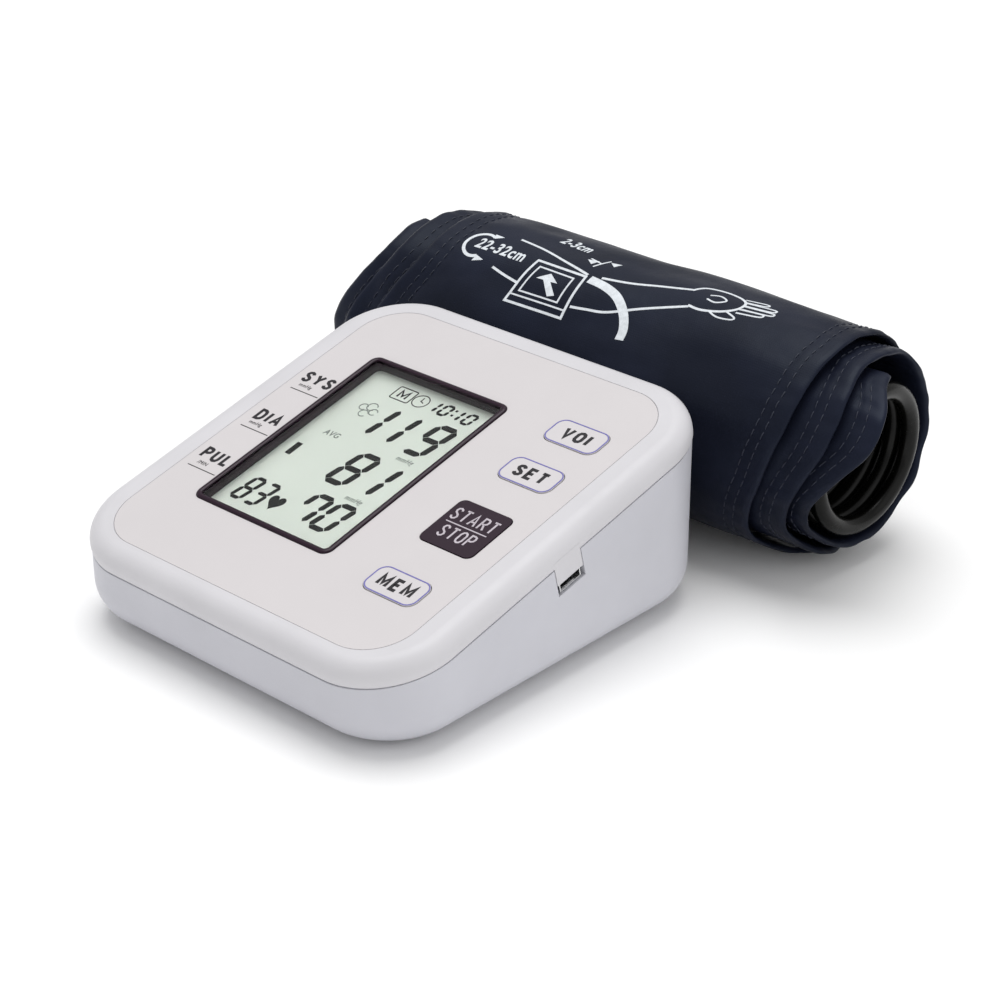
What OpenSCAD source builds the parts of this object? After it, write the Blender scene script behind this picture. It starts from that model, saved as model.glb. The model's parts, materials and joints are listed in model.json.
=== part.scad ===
// Upper arm blood pressure monitor with its cuff rolled up behind it.
// Millimetres, +Z up. Origin: middle of the footprint of the case and the roll, on the table.
// Inside the modules, x and y are counted from the middle of the case.

/* [Case] */
// Width of the case, left to right
body_w = 115; // [95:0.5:140]
// Depth of the case, front to back
body_d = 118.5; // [100:0.5:150]
// Height of the sloped top above the table, at the front wall
front_h = 24; // [20:0.5:30]
// Slope of the top, in degrees
slope = 14.1; // [8:0.1:20]
// Radius of the upright corners
corner_r = 21; // [14:0.5:28]
// Radius around the underside
foot_edge_r = 10; // [4:0.5:12]
// Radius around the top
top_edge_r = 4.5; // [2:0.1:5]
// Wall of both housings
wall = 2.2; // [1.6:0.1:3]
// Depth of the upper housing's rim, square to the slope
lid_t = 5.5; // [4.5:0.1:8]

/* [Face] */
// Width of the face overlay
overlay_w = 98; // [80:0.5:110]
// Length of the face overlay up the slope
overlay_l = 108.4; // [90:0.1:112]
// Width of the display frame
display_w = 47.2; // [35:0.1:60]
// Length of the display frame up the slope
display_l = 66.7; // [50:0.1:80]
// Length of an oblong key
oblong_l = 16.4; // [12:0.1:22]
// Width of an oblong key
oblong_w = 9; // [6:0.1:12]
// Corner radius of an oblong key
oblong_r = 2.8; // [1:0.1:4]
// Side of the start and stop key
start_side = 16.6; // [12:0.1:22]
// Corner radius of the start and stop key
start_r = 1.9; // [1:0.1:4]

/* [Cuff] */
// Radius of the rolled cuff at its outer end
roll_r = 32.2; // [28:0.1:36]
// Radius lost in each turn of the roll
roll_pitch = 3.3; // [2.9:0.1:4]
// Thickness of the sleeve with its bladder
sleeve_t = 2.5; // [1.8:0.1:3]
// Diameter of the air hose
hose_d = 5; // [4:0.1:7]

/* [Hidden] */
$fn = 64;
eps = 0.01;
gap = 0.2;
far = 300;

// Levels above the table.
foot_h = 1.2;
floor_t = 2.2;
floor_top = foot_h + floor_t;
case_h = 60;

// Lengths on the slope. s runs up the slope from the front wall's plane, n is square to the slope.
slope_l = body_d / cos(slope);
lid_s = slope_l / 2 - lid_t * tan(slope);
overlay_s = 59.3;
overlay_t = 0.35;
overlay_r = 13;
display_x = -12;
display_s = 59.8;
keys_x = 34.4;
mem_s = 27.1;
start_s = 51;
set_s = 74.5;
voice_s = 91.6;
usb_s = 59.5;

// Levels square to the slope.
lid_in_n = -wall;
tongue_t = wall - 0.3;
lcd_n = -3.4;
lcd_t = 2.2;
board_n = -13.4;
board_t = 1.6;
switch_h = 3.6;
plunger_top_n = board_n + 5;
flange_n = -4;
key_proud = 0.25;

// Battery bay.
cell_d = 14.2;
cell_l = 50.5;
cell_pitch = 14.8;
cell_z = floor_top + 7.3;
bay_x = -15;
bay_y = 14;
bay_w = 59.4;
bay_l = 56;
bay_wall = 1.4;
bay_top = 19.2;
door_t = 2;
door_w = 61.4;
door_front = -15;
door_back = 43;
door_pivot_z = foot_h + door_t / 2;
door_pivot_y = door_front + door_t / 2;

// Posts and screws: x, y, height where the two housings' posts meet, height of the screw head's seat.
posts = [[42.5, -43, 9, floor_top], [-42.5, -43, 9, floor_top], [44, 41.5, 22, floor_top],
         [-49.5, 30, 22, 5.2]];
post_d = 6.4;
screw_head_d = 5;
board_screws = [[-37, 22.5], [20, 22.5], [-37, 80.5], [20, 80.5]];

// Air parts.
pump_x = 31;
pump_z = 13.4;
pump_front = 6;
motor_l = 25;
motor_d = 19;
head_l = 17;
head_side = 19;
valve_x = 35;
valve_front = -24;
valve_l = 20;
valve_w = 12;
valve_z = 9.8;
socket_y = 6;
socket_z = 15;
socket_bore_r = 3.6;
socket_depth = 8.5;
tube_d = 4;
tee_x = 19;
tee_y = -27;
tee_z = 11;

// Speaker.
speaker_x = -26;
speaker_y = -34;
speaker_d = 28;

// Rolled cuff: its axis runs along X.
roll_y = 94.6;
roll_z = 32.2;
roll_start = -88;
roll_turn = 900;
roll_step = 9;
outer_left = -64;
outer_right = 68;
middle_left = -74;
middle_right = 74;
inner_left = -82;
inner_right = 76;
bladder_t = 0.9;
patch_t = 0.5;

// Coiled hose inside the roll.
hose_r = 18.4;
coil_y = 95.2;
coil_z = 30.3;
coil_right = 79.5;
coil_turns = 5;
coil_left = coil_right - coil_turns * (hose_d + 0.5);
hose_tail = [
  [52, coil_y, coil_z - hose_r],
  [46, coil_y, coil_z - hose_r],
  [38, coil_y, coil_z - hose_r],
  [27, coil_y, 12.2],
  [16, coil_y, 12.8],
  [7, coil_y, 13.2],
  [2, coil_y, 13.2]
];
plug_x = 2;
plug_z = 13.2;

// Footprint of the case and the roll.
case_front = -body_d / 2 + (top_edge_r - lid_t * tan(slope)) * cos(slope) + top_edge_r * (sin(slope) - 1);
roll_back = roll_y + roll_radius(270) * cos(2);
mid_x = (inner_left + inner_right) / 2;
mid_y = (case_front + roll_back) / 2;

// ---------- shared shapes ----------

// Moves the case's middle away from the origin, so that the origin is the middle of the footprint.
module place() {
  translate([-mid_x, -mid_y, 0]) children();
}

// Half of a section with a rounded lower corner, from the axis out to r.
module corner_section(r, h, edge_r) {
  translate([0, edge_r]) square([r, h - edge_r]);
  square([r - edge_r, h]);
  intersection() {
    translate([r - edge_r, edge_r]) circle(edge_r);
    square([r, h]);
  }
}

// A whole section with both lower corners rounded.
module wall_section(half, h, edge_r) {
  corner_section(half, h, edge_r);
  mirror([1, 0]) corner_section(half, h, edge_r);
}

// A block with rounded upright corners and a rounded lower edge.
module tub(w, d, h, r, edge_r) {
  for (side = [-1, 1], end = [-1, 1])
    translate([side * (w / 2 - r), end * (d / 2 - r), 0]) rotate_extrude() corner_section(r, h, edge_r);
  rotate([90, 0, 0]) linear_extrude(height = d - 2 * r, center = true) wall_section(w / 2, h, edge_r);
  rotate([90, 0, 90]) linear_extrude(height = w - 2 * r, center = true) wall_section(d / 2, h, edge_r);
}

// A flat plate with round corners, from z = 0 up to t.
module round_plate(w, l, r, t) {
  for (side = [-1, 1], end = [-1, 1])
    translate([side * (w / 2 - r), end * (l / 2 - r), 0]) cylinder(h = t, r = r);
  translate([-w / 2, -l / 2 + r, 0]) cube([w, l - 2 * r, t]);
  translate([-w / 2 + r, -l / 2, 0]) cube([w - 2 * r, l, t]);
}

// Children drawn in the slope's own frame.
module on_slope() {
  translate([0, -body_d / 2, front_h]) rotate([slope, 0, 0]) children();
}

// Everything above a level square to the slope, in the slope's own frame.
module above(n) {
  translate([-far / 2, -far / 2, n]) cube([far, 2 * far, far]);
}

// A tube swept along points, as one closed solid.
function unit(v) = v / norm(v);
function heading(path, i) =
  let (last = len(path) - 1)
  unit(path[min(i + 1, last)] - path[max(i - 1, 0)]);
function side_of(v) = abs(v.z) < 0.9 ? unit(cross(v, [0, 0, 1])) : unit(cross(v, [1, 0, 0]));
function ring_point(path, i, r, sides, k) =
  let (t = heading(path, i), a = side_of(t), b = cross(t, a))
  path[i] + r * (cos(360 * k / sides) * a + sin(360 * k / sides) * b);
module swept_tube(path, r, sides = 8) {
  rings = len(path);
  points = [for (i = [0:rings - 1], k = [0:sides - 1]) ring_point(path, i, r, sides, k)];
  walls = [
    for (i = [0:rings - 2], k = [0:sides - 1])
      [i * sides + k, i * sides + (k + 1) % sides, (i + 1) * sides + (k + 1) % sides, (i + 1) * sides + k]
  ];
  start_cap = [[for (k = [sides - 1:-1:0]) k]];
  end_cap = [[for (k = [0:sides - 1]) (rings - 1) * sides + k]];
  polyhedron(points = points, faces = concat(walls, start_cap, end_cap));
}

// Points on a band of the spiral roll, from turn angle t0 to t1, at a depth under the roll's surface.
function roll_radius(t) = roll_r - roll_pitch * t / 360;
function roll_point(t, depth) =
  let (angle = roll_start - t, r = roll_radius(t) - depth)
  [r * cos(angle), r * sin(angle)];
function band(t0, t1, top, bottom) =
  let (steps = round((t1 - t0) / roll_step))
  concat(
    [for (i = [0:steps]) roll_point(t0 + (t1 - t0) * i / steps, top)],
    [for (i = [steps:-1:0]) roll_point(t0 + (t1 - t0) * i / steps, bottom)]
  );

// A band of the roll from x0 to x1.
module roll_band(t0, t1, top, bottom, x0, x1) {
  translate([x0, roll_y, roll_z]) rotate([90, 0, 90])
    linear_extrude(height = x1 - x0) polygon(band(t0, t1, top, bottom));
}

// The two key outlines, wider by grow all round, from z = 0 up to t.
module oblong_shape(grow, t) {
  round_plate(oblong_l + 2 * grow, oblong_w + 2 * grow, oblong_r + grow, t);
}
module start_shape(grow, t) {
  round_plate(start_side + 2 * grow, start_side + 2 * grow, start_r + grow, t);
}

// The four key openings, from level n0 up to n1.
module key_openings(n0, n1, grow) {
  for (s = [mem_s, set_s, voice_s]) translate([keys_x, s, n0]) oblong_shape(grow, n1 - n0);
  translate([keys_x, start_s, n0]) start_shape(grow, n1 - n0);
}

// ---------- case ----------

module rim_rebate() {
  difference() {
    tub(body_w + 1, body_d + 1, case_h, corner_r, foot_edge_r);
    tub(body_w - 0.7, body_d - 0.7, case_h + 1, corner_r - 0.35, foot_edge_r);
    on_slope() mirror([0, 0, 1]) above(lid_t + 0.35);
  }
}

module door_opening() {
  translate([bay_x - door_w / 2 - 0.3, door_front - 0.3, 0])
    cube([door_w + 0.6, door_back - door_front + 0.6, floor_top + 1]);
}

module bay_box() {
  difference() {
    translate([bay_x - bay_w / 2 - bay_wall, bay_y - bay_l / 2 - bay_wall, floor_top - eps])
      cube([bay_w + 2 * bay_wall, bay_l + 2 * bay_wall, bay_top - floor_top]);
    translate([bay_x - bay_w / 2, bay_y - bay_l / 2, floor_top - 1])
      cube([bay_w, bay_l, bay_top - 1 - floor_top + 1]);
  }
}

module speaker_grille() {
  translate([speaker_x, speaker_y, 0]) {
    cylinder(h = 8, d = 2);
    for (ring = [1, 2], i = [0:6 * ring - 1])
      rotate(60 * i / ring) translate([4 * ring, 0, 0]) cylinder(h = 8, d = 2, $fn = 24);
  }
}

module lower_housing() {
  color("#e4e2ea") place()
  difference() {
    union() {
      difference() {
        translate([0, 0, foot_h]) tub(body_w, body_d, case_h, corner_r, foot_edge_r);
        translate([0, 0, floor_top])
          tub(body_w - 2 * wall, body_d - 2 * wall, case_h, corner_r - wall, foot_edge_r - wall);
      }
      bay_box();
      for (p = posts) translate([p.x, p.y, floor_top - 1]) cylinder(h = p.z - floor_top + 1, d = post_d);
      translate([speaker_x, speaker_y, floor_top - eps]) difference() {
        cylinder(h = 2.4, d = speaker_d + 2.6);
        translate([0, 0, -1]) cylinder(h = 5, d = speaker_d + 0.4);
      }
    }
    on_slope() above(-lid_t);
    rim_rebate();
    door_opening();
    for (side = [-1, 1])
      translate([bay_x + side * door_w / 2, door_pivot_y, door_pivot_z]) rotate([0, 90, 0])
        cylinder(h = 5, d = 1.7, center = true);
    speaker_grille();
    for (p = posts) translate([p.x, p.y, 0]) {
      cylinder(h = case_h, d = 3);
      cylinder(h = p[3], d = screw_head_d + 0.6);
    }
    // Way out for the charging socket and the upper housing's tongue.
    on_slope() translate([body_w / 2 - wall - 1, usb_s - 4.8, board_n - 0.2]) cube([wall + 3, 9.6, 12]);
    translate([-body_w / 2 - 1, socket_y, socket_z]) rotate([0, 90, 0]) cylinder(h = wall + 3, d = 12.4);
  }
}

module upper_housing() {
  color("#eeecf0") place()
  union() {
    on_slope() difference() {
      union() {
        difference() {
          translate([0, lid_s, 0]) mirror([0, 0, 1])
            tub(body_w, slope_l, lid_t, corner_r, top_edge_r);
          translate([0, lid_s, lid_in_n]) mirror([0, 0, 1])
            tub(body_w - 2 * wall, slope_l - 2 * wall, lid_t, corner_r - wall - 0.5, top_edge_r - wall);
        }
        // The tongue closes the slot above the charging socket.
        translate([body_w / 2 - tongue_t, usb_s - 4.6, board_n + 2.8])
          cube([tongue_t, 9.2, -board_n - 2.8 - 4]);
      }
      translate([0, overlay_s, -overlay_t])
        round_plate(overlay_w + gap, overlay_l + gap, overlay_r, overlay_t + 1);
      translate([display_x, display_s, -10]) round_plate(display_w + gap, display_l + gap, 2.7, 20);
      key_openings(-10, 5, gap);
    }
    difference() {
      for (p = posts) translate([p.x, p.y, p.z + 0.1]) cylinder(h = case_h, d = post_d - 0.6);
      on_slope() above(-1.6);
      for (p = posts) translate([p.x, p.y, 0]) cylinder(h = p.z + 10, d = 2.7);
    }
  }
}

module face_overlay() {
  color("#f2eef0") place() on_slope() difference() {
    translate([0, overlay_s, -overlay_t + eps]) round_plate(overlay_w, overlay_l, overlay_r, overlay_t - eps);
    translate([display_x, display_s, -2]) round_plate(display_w + gap, display_l + gap, 2.7, 5);
    key_openings(-2, 3, gap);
  }
}

module rubber_feet() {
  color("#3a3a3c") place()
  for (spot = [posts[0], posts[1], [34, 46.5], [-34, 46.5]]) translate([spot.x, spot.y, 0])
    cylinder(h = foot_h, d = 8);
}

module housing_screws() {
  color("#b9bcc0") place()
  for (p = posts) translate([p.x, p.y, 0]) {
    translate([0, 0, p[3]]) cylinder(h = p.z + 6 - p[3], d = 2.6);
    translate([0, 0, p[3] - 1.7]) difference() {
      cylinder(h = 1.7, d = screw_head_d);
      for (turn = [0, 90]) rotate(turn) translate([-1.5, -0.35, -0.3]) cube([3, 0.7, 1.2]);
    }
  }
}

// ---------- display ----------

module display_frame() {
  color("#241c26") place() on_slope() translate([display_x, display_s, 0]) difference() {
    union() {
      translate([0, 0, lcd_n]) round_plate(display_w, display_l, 2.6, 0.15 - lcd_n);
      translate([0, 0, lcd_n]) round_plate(display_w + 2, display_l + 2, 3, 0.9);
    }
    translate([0, 0, -9]) round_plate(display_w - 2.6, display_l - 2.6, 1.6, 20);
    translate([0, 0, -0.8]) round_plate(display_w - 1.8, display_l - 1.8, 1.8, 5);
  }
}

module display_window() {
  color("#dfe6e2") place() on_slope() translate([display_x, display_s, -0.8])
    round_plate(display_w - 2, display_l - 2, 1.6, 0.7);
}

module lcd_panel() {
  color("#b9c4bb") place() on_slope() translate([display_x, display_s, lcd_n - lcd_t])
    round_plate(display_w - 0.6, display_l + 1.4, 0.8, lcd_t - 0.05);
}

module lcd_holder() {
  color("#f4f4f4") place() on_slope() translate([display_x, display_s, 0]) difference() {
    union() {
      translate([0, 0, -11]) round_plate(display_w + 2.8, display_l + 5.4, 1.5, 11 + lcd_n - 0.1);
      for (side = [-1, 1], end = [-1, 1])
        translate([side * 20, end * 20 - 8, board_n + 0.05]) cylinder(h = 3, d = 4);
    }
    translate([0, 0, lcd_n - lcd_t - 0.05]) round_plate(display_w - 0.2, display_l + 1.8, 1, 20);
    translate([0, 0, lcd_n - lcd_t - 3.2]) round_plate(display_w - 4, display_l - 4, 1, 20);
    translate([0, 0, -20]) round_plate(display_w - 8, display_l - 12, 1, 20);
    translate([-21, -display_l / 2 - 0.6, -20]) cube([42, 2.2, 30]);
  }
}

module display_backlight() {
  color("#fafafa") place() on_slope() translate([display_x, display_s, lcd_n - lcd_t - 3.1])
    round_plate(display_w - 4.4, display_l - 4.4, 0.9, 2.9);
}

module lcd_contact_strip() {
  color("#d98aa0") place() on_slope()
    translate([display_x - 20, display_s - display_l / 2 - 0.4, board_n + 0.02])
      cube([40, 1.8, lcd_n - lcd_t - board_n - 0.05]);
}

// ---------- electronics ----------

module main_board() {
  color("#2f6b3c") place() on_slope() difference() {
    translate([0, 0, board_n - board_t]) linear_extrude(height = board_t)
      polygon([[-41, 19.5], [53.5, 19.5], [53.5, 89], [45, 89], [45, 96.5], [24, 96.5], [24, 84], [-41, 84]]);
    for (p = board_screws) translate([p.x, p.y, -30]) cylinder(h = 30, d = 2.4);
  }
}

module chip(x, s, w, l, h) {
  translate([x - w / 2, s - l / 2, board_n]) cube([w, l, h]);
}

module board_chips() {
  color("#1d1d20") place() on_slope() {
    chip(20, 36, 9, 9, 1.4);
    chip(19, 68, 6, 8, 1.4);
    chip(46.5, 38, 5, 5, 1.2);
    chip(48, 78, 4, 6, 1.2);
    for (s = [44, 49, 54]) chip(18, s, 2, 1.2, 0.8);
    for (x = [44, 48]) translate([x, 28, board_n]) cylinder(h = 5.4, d = 3.4);
    translate([19, 76, board_n]) cylinder(h = 2.4, d = 5);
  }
}

module board_screws() {
  color("#c3c5c8") place() on_slope() for (p = board_screws) translate([p.x, p.y, 0]) {
    translate([0, 0, board_n - board_t - 0.6]) cylinder(h = board_t + 0.65, d = 2);
    translate([0, 0, board_n + 0.02]) cylinder(h = 1.4, d = 3.8);
  }
}

module usb_socket() {
  color("#c9cbcf") place() on_slope() translate([0, usb_s, board_n + 0.02]) difference() {
    translate([51.4, -3.75, 0]) cube([body_w / 2 - 0.5 - 51.4, 7.5, 2.6]);
    translate([52.6, -3.45, 0.4]) cube([10, 6.9, 1.8]);
  }
  color("#1a1a1c") place() on_slope() translate([52.5, usb_s - 2.4, board_n + 1.1]) cube([3.4, 4.8, 0.6]);
}

// ---------- keys and switches ----------

module key_stem() {
  translate([0, 0, plunger_top_n]) cylinder(h = flange_n - plunger_top_n + 0.5, d = 3.6);
}

module oblong_key(s) {
  color("#f2eef0") place() on_slope() translate([keys_x, s, 0]) {
    translate([0, 0, flange_n]) oblong_shape(0, key_proud - flange_n);
    translate([0, 0, flange_n]) oblong_shape(1, 1.2);
    key_stem();
  }
}

module memory_key() {
  oblong_key(mem_s);
}

module set_key() {
  oblong_key(set_s);
}

module voice_key() {
  oblong_key(voice_s);
}

module start_stop_key() {
  color("#2a2129") place() on_slope() translate([keys_x, start_s, 0]) {
    translate([0, 0, flange_n]) start_shape(0, key_proud - flange_n);
    translate([0, 0, flange_n]) start_shape(1, 1.2);
    key_stem();
  }
}

module switch_plunger(s) {
  color("#202024") place() on_slope() translate([keys_x, s, board_n + 2.2])
    cylinder(h = plunger_top_n - board_n - 2.2, d = 3.2);
}

module memory_switch_plunger() {
  switch_plunger(mem_s);
}

module start_stop_switch_plunger() {
  switch_plunger(start_s);
}

module set_switch_plunger() {
  switch_plunger(set_s);
}

module voice_switch_plunger() {
  switch_plunger(voice_s);
}

module switch_bodies() {
  color("#a9acb1") place() on_slope() for (s = [mem_s, start_s, set_s, voice_s])
    translate([keys_x, s, board_n + 0.02]) difference() {
      translate([-3, -3, 0]) cube([6, 6, switch_h]);
      translate([0, 0, 1.2]) cylinder(h = 5, d = 3.8);
    }
}

// ---------- air parts ----------

module pump_motor() {
  color("#b4b8bd") place() translate([pump_x, pump_front, pump_z]) rotate([-90, 0, 0]) difference() {
    union() {
      cylinder(h = motor_l, d = motor_d);
      translate([0, 0, -1.4]) cylinder(h = 1.5, d = 6);
    }
    translate([0, 0, -3]) cylinder(h = motor_l + 6, d = 2.4);
  }
}

module pump_shaft() {
  color("#8e9298") place() translate([pump_x, pump_front, pump_z]) rotate([-90, 0, 0]) {
    translate([0, 0, 1]) cylinder(h = motor_l + 4, d = 2);
    translate([0, 0, motor_l + 1.2]) cylinder(h = 4, d = 9);
    translate([0, 2.2, motor_l + 5]) cylinder(h = 3, d = 2);
  }
}

module pump_head() {
  color("#34343a") place() translate([pump_x, pump_front + motor_l + 0.1, pump_z]) difference() {
    union() {
      translate([-head_side / 2, 0, -head_side / 2]) cube([head_side, head_l, head_side]);
      translate([0, head_l - 1, 4]) rotate([-90, 0, 0]) cylinder(h = 5, d = 3.4);
    }
    translate([0, -1, 0]) rotate([-90, 0, 0]) cylinder(h = 12, d = 15);
    translate([0, 12, 4]) rotate([-90, 0, 0]) cylinder(h = 20, d = 1.6);
  }
}

module pump_cradle() {
  color("#45474c") place() translate([pump_x, pump_front + 5, pump_z]) difference() {
    translate([-motor_d / 2 - 0.6, 0, floor_top - pump_z]) cube([motor_d + 1.2, 14, 9]);
    rotate([-90, 0, 0]) translate([0, 0, -1]) cylinder(h = 20, d = motor_d + 0.1);
  }
}

module release_valve() {
  color("#5a5d63") place() translate([valve_x, valve_front, valve_z]) difference() {
    union() {
      translate([-valve_w / 2, 0, -valve_w / 2]) cube([valve_w, valve_l, valve_w]);
      rotate([90, 0, 0]) cylinder(h = 4, d = 3.4);
    }
    translate([0, 5, 0]) rotate([-90, 0, 0]) cylinder(h = valve_l, d = 4.4);
    translate([0, -6, 0]) rotate([-90, 0, 0]) cylinder(h = 12, d = 1.6);
  }
}

module valve_plunger() {
  color("#c8cacd") place() translate([valve_x, valve_front + 6.2, valve_z]) rotate([-90, 0, 0]) {
    cylinder(h = valve_l - 5, d = 4);
    translate([0, 0, valve_l - 5]) cylinder(h = 0.8, d = 6);
  }
}

module pressure_sensor() {
  color("#e6e6e8") place() on_slope() translate([-4, 33, board_n - board_t - 5.05]) {
    translate([-4.5, -4.5, 0]) cube([9, 9, 5]);
    translate([0, 0, 2]) rotate([0, 90, 0]) cylinder(h = 8, d = 3);
  }
}

module air_tee() {
  color("#d8d8da") place() translate([tee_x, tee_y, tee_z]) {
    rotate([0, 90, 0]) cylinder(h = 8, d = 3, center = true);
    rotate([90, 0, 0]) cylinder(h = 8, d = 3, center = true);
    cylinder(h = 4, d = 5.4, center = true);
  }
}

tube_routes = [
  // from the air socket round the speaker to the tee
  [[-51, -1.2, 15], [-51, -10, 14.6], [-49.5, -16, 13.8], [-44, -19.5, 12.8], [-36, -20.5, 12.2],
   [-24, -20.5, 12], [-8, -20.5, 12], [4, -21, 11.8], [10, -24, 11.4], [14.7, -27, 11]],
  // from the tee to the release valve
  [[23.3, -27, 11], [26, -28, 10.8], [29, -30, 10.3], [32.5, -31.2, 10], [35, -30, 9.8], [35, -28.2, 9.8]],
  // from the tee to the pump's outlet
  [[19, -22.7, 11], [18.9, -16, 11], [18.7, -8, 11], [18.7, 4, 12], [18.7, 24, 14], [18.8, 40, 17],
   [20.5, 49.5, 18.2], [25, 53.6, 17.8], [29, 54.6, 17.4], [31, 53.6, 17.4], [31, 52.4, 17.4]],
  // from the tee to the pressure sensor
  [[19, -31.3, 11], [18.5, -34, 11], [15, -36.4, 10.8], [10.5, -35, 10.6], [8, -30, 11.6]]
];

module inner_air_tubes() {
  color("#e9e4da") place() for (route = tube_routes) swept_tube(route, tube_d / 2);
}

module air_socket() {
  color("#3b3b40") place() translate([-body_w / 2 - 0.4, socket_y, socket_z]) difference() {
    union() {
      rotate([0, 90, 0]) cylinder(h = 10.6, d = 12);
      translate([6.9, -4, 0]) rotate([90, 0, 0]) cylinder(h = 3, d = 3);
    }
    translate([-1, 0, 0]) rotate([0, 90, 0]) cylinder(h = socket_depth + 1, r = socket_bore_r);
  }
}

module speaker() {
  color("#55565a") place() translate([speaker_x, speaker_y, floor_top + 0.02]) {
    cylinder(h = 2.6, d = speaker_d);
    translate([0, 0, 2.6]) cylinder(h = 2.4, d = 15);
  }
}

wire_routes = [
  [[18, -9, 17.5], [18, -11, 17.6], [18, -13.5, 18.2]],
  [[-16, -28, 8.4], [-13, -25, 9.2], [-11, -23.8, 13], [-11, -23.8, 16.2]],
  [[31, 5.8, 20.2], [31, 2, 20.4], [31, -2, 21.4]]
];

module hookup_wires() {
  color("#b3262b") place() for (route = wire_routes, side = [-1, 1])
    swept_tube([for (p = route) p + [side * 0.8, 0, 0]], 0.6, 6);
}

// ---------- batteries ----------

module battery_door() {
  color("#e4e2ea") place() difference() {
    union() {
      translate([bay_x - door_w / 2, door_pivot_y, foot_h])
        cube([door_w, door_back - door_pivot_y, door_t]);
      translate([bay_x, door_pivot_y, door_pivot_z]) rotate([0, 90, 0])
        cylinder(h = door_w, d = door_t, center = true);
      translate([bay_x, door_pivot_y, door_pivot_z]) rotate([0, 90, 0])
        cylinder(h = door_w + 3.2, d = 1.4, center = true);
    }
    // Finger notch and the grip ribs beside it.
    translate([bay_x, door_back + 3, foot_h - 1]) cylinder(h = door_t + 2, d = 14);
    for (i = [0:3]) translate([bay_x - 8, door_back - 8 - 2.4 * i, foot_h - 1]) cube([16, 1, 1.5]);
  }
}

module battery_cells() {
  color("#3d4652") place() for (i = [0:3])
    translate([bay_x + (i - 1.5) * cell_pitch, bay_y, cell_z])
      rotate([i % 2 == 0 ? -90 : 90, 0, 0]) {
        translate([0, 0, -cell_l / 2]) cylinder(h = cell_l - 1.2, d = cell_d);
        translate([0, 0, cell_l / 2 - 1.3]) cylinder(h = 1.3, d = 5.4);
      }
}

module contact_spring() {
  steps = 30;
  swept_tube(
    [for (i = [0:steps]) let (a = 1080 * i / steps, r = 4.4 - 1.8 * i / steps)
      [r * cos(a), r * sin(a), 1.5 * i / steps]],
    0.3, 5
  );
}

module battery_springs() {
  color("#c9ccd0") place() for (i = [0:3])
    translate([bay_x + (i - 1.5) * cell_pitch, bay_y + (i % 2 == 0 ? -1 : 1) * (bay_l / 2 - 0.75), cell_z])
      rotate([i % 2 == 0 ? -90 : 90, 0, 0]) contact_spring();
}

module battery_plates() {
  color("#c9ccd0") place() for (i = [0:3], end = [-1, 1])
    translate([bay_x + (i - 1.5) * cell_pitch - 5.5, bay_y + end * (bay_l / 2 - 0.22) - 0.2, cell_z - 6])
      cube([11, 0.4, 12]);
}

// ---------- cuff ----------

module cuff_sleeve() {
  color("#23283a") place() difference() {
    union() {
      roll_band(0, 360, 0, sleeve_t, outer_left, outer_right);
      roll_band(360, 720, 0, sleeve_t, middle_left, middle_right);
      roll_band(720, roll_turn, 0, sleeve_t, inner_left, inner_right);
    }
    roll_band(370, 880, 0.7, 1.8, -60, 60);
  }
}

module cuff_bladder() {
  color("#50545e") place() roll_band(376, 874, 0.8, 0.8 + bladder_t, -58, 58);
}

module cuff_hook_patch() {
  color("#15171d") place() roll_band(18, 108, sleeve_t + 0.05, sleeve_t + 0.05 + patch_t / 2, -50, 50);
}

module cuff_loop_patch() {
  color("#1b1e27") place() roll_band(378, 468, -0.05 - patch_t / 2, -0.05, -50, 50);
}

module hose_port() {
  color("#18181b") place() translate([coil_right - hose_d / 2 - 0.25, coil_y, coil_z]) rotate([105, 0, 0]) {
    // Barrel along the hose's start, and the neck that stands it on the innermost turn.
    translate([0, hose_r, 0]) cylinder(h = 9, d = 6.6);
    translate([-9, hose_r - 2, 1.5]) cube([9, 4, 6]);
    translate([-14, hose_r - 1, 0.5]) cube([8, 2.6, 8]);
  }
}

// The turns that leave the port, as one ring of the coil's outer shape.
module air_hose_coil() {
  color("#121214") place() translate([coil_left, coil_y, coil_z]) rotate([90, 0, 90]) rotate_extrude()
    translate([hose_r - hose_d / 2, 0]) square([hose_d, coil_right - coil_left]);
}

module air_hose_tail() {
  color("#121214") place() swept_tube(hose_tail, hose_d / 2);
}

module air_plug() {
  color("#1c1c20") place() translate([plug_x, coil_y, plug_z]) rotate([0, -90, 0]) difference() {
    union() {
      cylinder(h = 9, d = 7);
      translate([0, 0, 3]) cylinder(h = 2, d = 7.8);
      translate([0, 0, 9]) cylinder(h = 8, d = 6.9);
      translate([0, 0, 17]) cylinder(h = 2.5, d1 = 6.9, d2 = 5.6);
    }
    translate([0, 0, 6]) cylinder(h = 20, d = 2.4);
  }
}

lower_housing();
upper_housing();
face_overlay();
display_frame();
display_window();
lcd_panel();
lcd_holder();
display_backlight();
lcd_contact_strip();
main_board();
board_chips();
usb_socket();
memory_key();
start_stop_key();
set_key();
voice_key();
memory_switch_plunger();
start_stop_switch_plunger();
set_switch_plunger();
voice_switch_plunger();
switch_bodies();
pump_motor();
pump_shaft();
pump_head();
pump_cradle();
release_valve();
valve_plunger();
pressure_sensor();
air_tee();
inner_air_tubes();
air_socket();
speaker();
hookup_wires();
battery_door();
battery_cells();
battery_springs();
battery_plates();
rubber_feet();
housing_screws();
board_screws();
cuff_sleeve();
cuff_bladder();
cuff_hook_patch();
cuff_loop_patch();
hose_port();
air_hose_coil();
air_hose_tail();
air_plug();
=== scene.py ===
"""Looks of the upper arm blood pressure monitor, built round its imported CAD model, in metres."""
import json
import math

import bpy
import bmesh
from mathutils import Matrix, Vector
from mathutils.geometry import tessellate_polygon
from mathutils.noise import noise


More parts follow.
